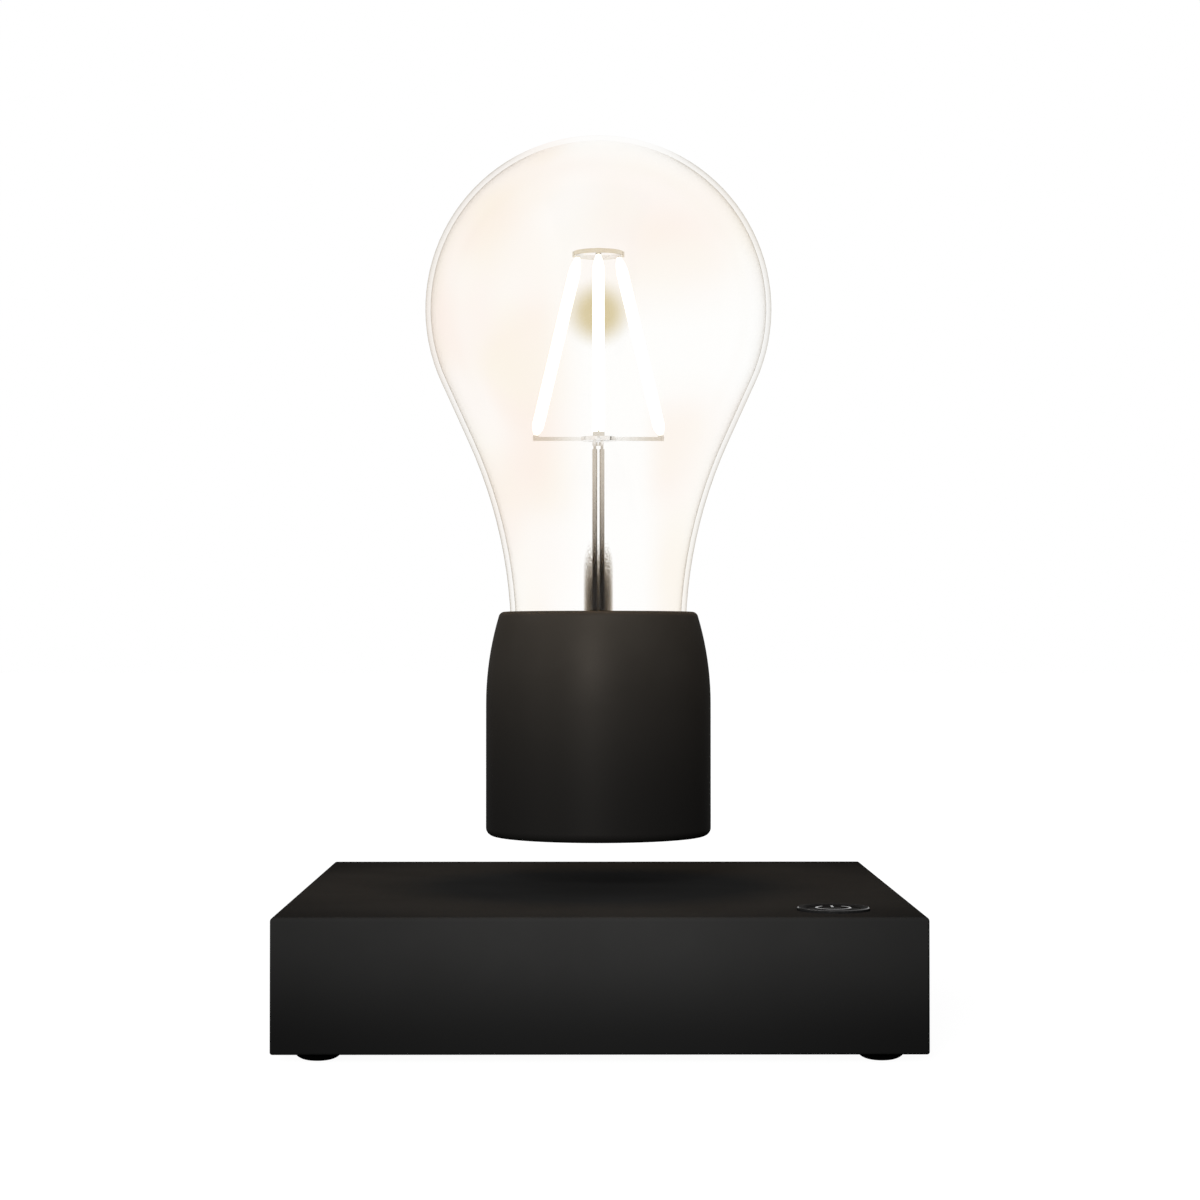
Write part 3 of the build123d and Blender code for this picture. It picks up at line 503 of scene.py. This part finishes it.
def stem_glass(name):
    """The stem inside the neck: it darkens towards the socket in soft grains, and is nearly clear above."""
    material, tree, shader, place = new_material(name)
    grain = noise(tree, place, STEM_GRAIN_MM)
    shift = spread(tree, grain, in_metres(STEM_GRAIN_SHIFT_MM))
    level = maths(tree, "ADD", height_of(tree, place), shift)
    span_mm = (STEM_TIP_MM - STEM_CLEAR_UNDER_TIP_MM, NECK_VISIBLE_MM + STEM_DARK_OVER_NECK_MM)
    smoke = ramp(tree, level, in_metres(span_mm), RISING)
    dark_share = product(tree, smoke, ramp(tree, facing_of(tree), STEM_EDGE_FACING, STEM_EDGE_SHARES))
    set_inputs(tree, shader, {
        "Base Color": mix_colour(tree, grain, STEM_DARK, STEM_LIGHT),
        "Roughness": spread(tree, grain, STEM_ROUGH),
        "Specular IOR Level": STEM_SPECULAR,
        "Normal": bumps(tree, grain, STEM_RELIEF_MM, STEM_RELIEF_STRENGTH),
    })
    brown = mix_colour(tree, dark_share, WHITE, STEM_BROWN)
    clear = add(tree, "ShaderNodeBsdfTransparent", {"Color": brown})
    show(tree, mix_shaders(tree, dark_share, clear, shader))
    return material


# Filament frame
ROD_LOW_COLOUR = (0.10, 0.075, 0.055)
ROD_HIGH_COLOUR = (0.66, 0.61, 0.54)
ROD_FADE_Z_MM = (91.4, 121.4)
# Painted light: the arms near the hub and the inside of the ring take this pale colour for the filaments'
# light on them
PAINTED_FILAMENT_LIGHT = (1.0, 0.99, 0.97)
ARM_END_COLOUR = (0.80, 0.75, 0.67)
ARM_FADE_MM = (4.0, 12.0)
ARM_START_Z_MM = (121.9, 122.9)
RING_OUTER_COLOUR = (0.86, 0.80, 0.66)
RING_WALL_MM = (4.95, 5.3)
RING_START_Z_MM = (159.4, 162.4)
WORN_COLOUR = (0.36, 0.29, 0.2)
WORN_SHARES = (0.0, 0.12)
STRIP_METALLIC = 0.9
STRIP_ROUGH = (0.14, 0.3)
STRIP_GRAIN_MM = 0.25
STRIP_RELIEF_MM = 0.02


def frame_colour(tree, height, reach):
    """Rods that get paler upwards, and arms and a ring painted pale near the filaments, as the filaments'
    light on them.
    """
    up_rod = ramp(tree, height, in_metres(ROD_FADE_Z_MM), RISING)
    rod = mix_colour(tree, up_rod, ROD_LOW_COLOUR, ROD_HIGH_COLOUR)
    along_arm = ramp(tree, reach, in_metres(ARM_FADE_MM), RISING)
    arm = mix_colour(tree, along_arm, PAINTED_FILAMENT_LIGHT, ARM_END_COLOUR)
    outside = ramp(tree, reach, in_metres(RING_WALL_MM), RISING, smooth=False)
    ring = mix_colour(tree, outside, PAINTED_FILAMENT_LIGHT, RING_OUTER_COLOUR)
    lower = mix_colour(tree, ramp(tree, height, in_metres(ARM_START_Z_MM), RISING), rod, arm)
    return mix_colour(tree, ramp(tree, height, in_metres(RING_START_Z_MM), RISING), lower, ring)


def frame_metal(name):
    """Bare strip and wire of the filament frame, a little worn, with the filaments' light painted pale on
    its arms and ring.
    """
    material, tree, shader, place = new_material(name)
    drawn = noise(tree, place, STRIP_GRAIN_MM)
    colour = frame_colour(tree, height_of(tree, place), reach_of(tree, place))
    set_inputs(tree, shader, {
        "Base Color": mix_colour(tree, spread(tree, drawn, WORN_SHARES), colour, WORN_COLOUR),
        "Metallic": STRIP_METALLIC,
        "Roughness": spread(tree, drawn, STRIP_ROUGH),
        "Normal": bumps(tree, drawn, STRIP_RELIEF_MM),
    })
    return material


# Lit filaments
FILAMENT_WARM = (1.0, 0.93, 0.78)
FILAMENT_PALE = (1.0, 0.96, 0.86)
FILAMENT_GRAIN_MM = 1.2
FILAMENT_STRENGTHS = (1.5, 1.9)
FILAMENT_ROUGH = (0.3, 0.45)
FILAMENT_RELIEF_MM = 0.02
BEFORE_FIRST_REFLECTION = 0.5


def lit_filament(name):
    """The lit filament: a smooth warm coating with soft spots, which doesn't shine in reflections."""
    material, tree, shader, place = new_material(name)
    spots = noise(tree, place, FILAMENT_GRAIN_MM)
    warm = mix_colour(tree, spread(tree, spots, RISING), FILAMENT_WARM, FILAMENT_PALE)
    path = tree.nodes.new("ShaderNodeLightPath")
    unmirrored = maths(tree, "LESS_THAN", path.outputs["Glossy Depth"], BEFORE_FIRST_REFLECTION)
    set_inputs(tree, shader, {
        "Base Color": warm,
        "Roughness": spread(tree, spots, FILAMENT_ROUGH),
        "Emission Color": warm,
        "Emission Strength": product(tree, spread(tree, spots, FILAMENT_STRENGTHS), unmirrored),
        "Normal": bumps(tree, spots, FILAMENT_RELIEF_MM),
    })
    return material


# Materials by the record's slots
materials = {
    "housing_plastic": moulded(
        "housing_plastic",
        dark=(0.0235, 0.0233, 0.023), light=(0.0262, 0.026, 0.0257),
        rough=(0.5, 0.62), grain_mm=0.35, relief_mm=0.012,
        # Painted shade: darker towards the foot and towards the corners
        painted_shade_span_mm=HOUSING_SPAN_MM, painted_shade_colour=grey(0.0088),
        corner_shade_mm=(56.0, 90.0), corner_shade_share=0.62,
    ),
    "foot_rubber": moulded(
        "foot_rubber",
        dark=grey(0.002), light=grey(0.004),
        rough=(0.75, 0.9), grain_mm=0.2, relief_mm=0.02,
    ),
    "screw_steel": metal(
        "screw_steel",
        dark=(0.42, 0.42, 0.44), light=(0.6, 0.6, 0.62),
        rough=(0.25, 0.4), grain_mm=0.15, relief_mm=0.004,
    ),
    "circuit_board": circuit_board(
        "circuit_board",
        dark=(0.012, 0.085, 0.035), light=(0.06, 0.24, 0.1), track_mm=0.6,
    ),
    "chip_plastic": moulded(
        "chip_plastic",
        dark=(0.018, 0.018, 0.019), light=(0.03, 0.03, 0.032),
        rough=(0.55, 0.7), grain_mm=0.12, relief_mm=0.006, specular=0.4,
    ),
    "capacitor_sleeve": moulded(
        "capacitor_sleeve",
        dark=(0.025, 0.035, 0.09), light=(0.04, 0.055, 0.14),
        rough=(0.2, 0.3), grain_mm=0.6, relief_mm=0.01, specular=0.5, coat=0.4,
    ),
    "ferrite": moulded(
        "ferrite",
        dark=(0.04, 0.04, 0.042), light=(0.085, 0.083, 0.082),
        rough=(0.5, 0.75), grain_mm=0.4, relief_mm=0.03, specular=0.5,
    ),
    "former_plastic": moulded(
        "former_plastic",
        dark=(0.6, 0.58, 0.52), light=(0.72, 0.7, 0.64),
        rough=(0.4, 0.5), grain_mm=0.3, relief_mm=0.01, specular=0.45,
    ),
    "copper_wire": wound_wire(
        "copper_wire",
        dark=(0.28, 0.09, 0.03), light=(0.78, 0.34, 0.15), wire_mm=0.45,
    ),
    "inlet_plastic": moulded(
        "inlet_plastic",
        dark=grey(0.014), light=grey(0.022),
        rough=(0.25, 0.35), grain_mm=0.3, relief_mm=0.008, specular=0.5,
    ),
    "contact_metal": metal(
        "contact_metal",
        dark=(0.66, 0.62, 0.52), light=(0.8, 0.77, 0.7),
        rough=(0.15, 0.28), grain_mm=0.1, relief_mm=0.003,
    ),
    "button_plastic": polished_button("button_plastic"),
    "magnet_nickel": metal(
        "magnet_nickel",
        dark=(0.55, 0.54, 0.5), light=(0.72, 0.71, 0.67),
        rough=(0.16, 0.26), grain_mm=0.3, relief_mm=0.004,
    ),
    # Warm at the top as painted light from the bulb, and darker towards the foot as painted shade
    "socket_plastic": moulded(
        "socket_plastic",
        dark=(0.033, 0.0285, 0.0238), light=(0.038, 0.0332, 0.0281),
        rough=(0.42, 0.48), grain_mm=0.3, relief_mm=0.01, metallic=0.15, edge_tint=0.5,
        painted_shade_span_mm=SOCKET_SPAN_MM, painted_shade_colour=(0.0095, 0.009, 0.0085), painted_shade_power=2.0,
    ),
    "inner_plastic": moulded(
        "inner_plastic",
        dark=grey(0.02), light=grey(0.035),
        rough=(0.45, 0.6), grain_mm=0.3, relief_mm=0.012, specular=0.4,
    ),
    "bulb_glass": blown_glass("bulb_glass"),
    "stem_glass": stem_glass("stem_glass"),
    "frame_metal": frame_metal("frame_metal"),
    "filament_glow": lit_filament("filament_glow"),
}


def dress_nodes():
    """Gives every carried-over node the material of its slot."""
    for row in frame["record"]["subparts"]:
        mesh = nodes[row["node"]].data
        mesh.materials.clear()
        mesh.materials.append(materials[row["material_slot"]])


# Power sign: its stroke, its open ring and its bar
SIGN_STROKE_MM = 0.5
SIGN_HEIGHT_MM = 0.18
SIGN_SINK_MM = 0.02
SIGN_ROUNDING_MM = 0.06
SIGN_GAP_DEG = 70.0
SIGN_STEPS = 40
SIGN_BAR_LENGTH_MM = 3.0
SIGN_BAR_MIDDLE_MM = 2.2
FULL_TURN_DEG = 360
UPWARDS_DEG = 90


def stroke_profile():
    """The stroke's cross-section, as places across it and levels, with rounded top edges."""
    half = SIGN_STROKE_MM / 2
    foot = BUTTON_DISH_MM - SIGN_SINK_MM
    top = BUTTON_DISH_MM + SIGN_HEIGHT_MM
    left = [(-half, foot), (-half, top - SIGN_ROUNDING_MM), (-half + SIGN_ROUNDING_MM, top)]
    right = [(-across, level) for across, level in reversed(left)]
    return left + right


def stroke(sign, path_mm):
    """A raised stroke of the sign along a path in the button's plane."""
    profile = stroke_profile()
    rows = []
    for index, (x, y) in enumerate(path_mm):
        before = path_mm[max(index - 1, 0)]
        after = path_mm[min(index + 1, len(path_mm) - 1)]
        along = Vector((after[0] - before[0], after[1] - before[1])).normalized()
        across = Vector((along.y, -along.x))
        rows.append([
            sign.verts.new(Vector((x + across.x * offset, y + across.y * offset, level)) * MM)
            for offset, level in profile
        ])
    for first, second in zip(rows, rows[1:]):
        for index in range(len(profile)):
            following = (index + 1) % len(profile)
            sign.faces.new((first[index], first[following], second[following], second[index]))
    sign.faces.new(rows[0][::-1])
    sign.faces.new(rows[-1])


def power_sign():
    """The power sign on the button: an open ring and a bar."""
    sign = bmesh.new()
    middle_x, middle_y = BUTTON_PLACE_MM[:2]
    ring = []
    for step in range(SIGN_STEPS + 1):
        turned = (FULL_TURN_DEG - SIGN_GAP_DEG) * step / SIGN_STEPS
        angle = math.radians(UPWARDS_DEG + SIGN_GAP_DEG / 2 + turned)
        x = middle_x + SIGN_RADIUS_MM * math.cos(angle)
        y = middle_y + SIGN_RADIUS_MM * math.sin(angle)
        ring.append((x, y))
    stroke(sign, ring)
    bar_half = SIGN_BAR_LENGTH_MM / 2
    stroke(sign, [
        (middle_x, middle_y + SIGN_BAR_MIDDLE_MM - bar_half),
        (middle_x, middle_y + SIGN_BAR_MIDDLE_MM + bar_half),
    ])
    bmesh.ops.recalc_face_normals(sign, faces=sign.faces)
    mesh = bpy.data.meshes.new("power_sign")
    sign.to_mesh(mesh)
    sign.free()
    piece = bpy.data.objects.new("power_sign", mesh)
    bpy.context.scene.collection.objects.link(piece)
    mesh.materials.append(materials["button_plastic"])
    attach(piece, "button")
    return piece


def seen_directly(tree):
    """One for rays from the camera, in reflections and through glass, and nothing for the rest."""
    path = tree.nodes.new("ShaderNodeLightPath")
    straight = maths(tree, "MAXIMUM", path.outputs["Is Camera Ray"], path.outputs["Is Transmission Ray"])
    return maths(tree, "MAXIMUM", straight, path.outputs["Is Glossy Ray"])


# Floor and world
FLOOR_REACH_MM = 6000.0
FLOOR_COLOUR = grey(0.12)
FLOOR_COLOUR_FOR_LIGHT = grey(0.05)
FLOOR_SHADE_FADE_MM = (100.0, 400.0)
FLOOR_SHADED_STRENGTHS = (0.955, 1.0)
AMBIENT = 0.22


def floor_material():
    """White where it is seen, with painted shade a touch darker near the object, with its shadow kept; dim
    for other light.
    """
    material, tree, shader, place = new_material("floor_white")
    tree.nodes.remove(shader)
    paper = add(tree, "ShaderNodeBsdfDiffuse", {"Color": (*FLOOR_COLOUR, 1.0)})
    # Painted shade: the white is a touch weaker near the object
    strength = ramp(tree, length_of(tree, place), in_metres(FLOOR_SHADE_FADE_MM), FLOOR_SHADED_STRENGTHS)
    white = add(tree, "ShaderNodeEmission", {"Color": (*WHITE, 1.0), "Strength": strength})
    seen = add(tree, "ShaderNodeAddShader", {0: paper.outputs[0], 1: white.outputs[0]})
    dim = add(tree, "ShaderNodeBsdfDiffuse", {"Color": (*FLOOR_COLOUR_FOR_LIGHT, 1.0)})
    show(tree, mix_shaders(tree, seen_directly(tree), dim, seen))
    return material


def make_floor():
    """The pale floor that the object stands on."""
    mesh = bpy.data.meshes.new("floor")
    reach = FLOOR_REACH_MM * MM
    corners = [(-reach, -reach, 0), (reach, -reach, 0), (reach, reach, 0), (-reach, reach, 0)]
    mesh.from_pydata(corners, [], [tuple(range(len(corners)))])
    floor = bpy.data.objects.new("floor", mesh)
    bpy.context.scene.collection.objects.link(floor)
    mesh.materials.append(floor_material())
    return floor


def make_world():
    """White to the camera, in reflections and through glass, and an even grey light on everything."""
    world = bpy.data.worlds.new("studio")
    bpy.context.scene.world = world
    world.use_nodes = True
    tree = world.node_tree
    tree.nodes.clear()
    tree.nodes.new("ShaderNodeOutputWorld").name = "surface"
    seen = mix_colour(tree, seen_directly(tree), grey(AMBIENT), WHITE)
    show(tree, add(tree, "ShaderNodeBackground", {"Color": seen, "Strength": 1.0}))


# Studio lamps, which leave out the bulb's glass and frame. The fills behind don't show in reflections
BULB_SLOTS = ("bulb_glass", "stem_glass", "frame_metal", "filament_glow")
LAMP_AIM_MM = (0, 0, 60)
FILL = {"width_mm": 500, "height_mm": 500, "watts": 3.8, "colour": SOFT_WHITE, "shines": False}
STUDIO_LAMPS = (
    {"name": "key", "place_mm": (-130, -900, 275), "width_mm": 250, "height_mm": 250,
     "watts": 9.2, "colour": SOFT_WHITE, "shines": True},
    {"name": "strip_left", "place_mm": (-780, -450, 200), "width_mm": 120, "height_mm": 500,
     "watts": 1.8, "colour": (1.0, 0.99, 0.97), "shines": True},
    {"name": "fill_left", "place_mm": (-700, 900, 110), **FILL},
    {"name": "fill_right", "place_mm": (700, 900, 110), **FILL},
)

# The lamp's own warm glow on the base, the button and the socket
GLOW_WATTS = 0.27
GLOW_COLOUR = (1.0, 0.72, 0.45)
GLOW_RADIUS_MM = 12.0
GLOW_PLACE_MM = (0.0, 0.0, 144.4)
GLOW_NODES = ("base_housing", "power_button", "socket_shell")


def receivers(name, lit_objects):
    """A collection of the objects that a lamp lights."""
    collection = bpy.data.collections.new(name)
    for lit in lit_objects:
        collection.objects.link(lit)
    return collection


def area_light(name, place_mm, width_mm, height_mm, watts, colour, shines):
    """A soft rectangular lamp that looks at the object."""
    light = bpy.data.lights.new(name, "AREA")
    light.shape = "RECTANGLE"
    light.size = width_mm * MM
    light.size_y = height_mm * MM
    light.energy = watts
    light.color = colour
    lamp = bpy.data.objects.new(name, light)
    lamp.location = Vector(place_mm) * MM
    aim = Vector(LAMP_AIM_MM) - Vector(place_mm)
    lamp.rotation_euler = aim.to_track_quat("-Z", "Y").to_euler()
    bpy.context.scene.collection.objects.link(lamp)
    lamp.visible_transmission = False
    lamp.visible_glossy = shines
    return lamp


def make_glow(sign):
    """The small warm lamp inside the bulb, which moves with it."""
    light = bpy.data.lights.new("glow", "POINT")
    light.energy = GLOW_WATTS
    light.color = GLOW_COLOUR
    light.shadow_soft_size = GLOW_RADIUS_MM * MM
    bulb = bpy.data.objects.new("glow", light)
    bulb.location = Vector(GLOW_PLACE_MM) * MM
    bulb.visible_glossy = False
    bulb.visible_transmission = False
    bulb.visible_camera = False
    warmed = [nodes[name] for name in GLOW_NODES]
    bulb.light_linking.receiver_collection = receivers("lit_by_glow", [*warmed, sign])
    bpy.context.scene.collection.objects.link(bulb)
    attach(bulb, "lamp")


def make_lights(sign, floor):
    """Soft studio light: a key in front, a strip at the left and a fill behind each side, and the glow."""
    outside = [
        nodes[row["node"]] for row in frame["record"]["subparts"] if row["material_slot"] not in BULB_SLOTS
    ]
    lit = receivers("lit_by_studio", [*outside, sign, floor])
    for lamp in STUDIO_LAMPS:
        area_light(**lamp).light_linking.receiver_collection = lit
    make_glow(sign)


def make_camera():
    """The photograph's view."""
    data = bpy.data.cameras.new("camera")
    data.lens = CAMERA_LENS_MM
    data.sensor_width = CAMERA_SENSOR_MM
    camera = bpy.data.objects.new("camera", data)
    camera.location = Vector(CAMERA_PLACE_MM) * MM
    camera.rotation_euler = (math.radians(CAMERA_TILT_DEG), 0.0, math.radians(CAMERA_TURN_DEG))
    bpy.context.scene.collection.objects.link(camera)
    bpy.context.scene.camera = camera


make_camera()
dress_nodes()
made_sign = power_sign()
made_floor = make_floor()
make_world()
make_lights(made_sign, made_floor)
bpy.context.scene.view_settings.view_transform = "Standard"
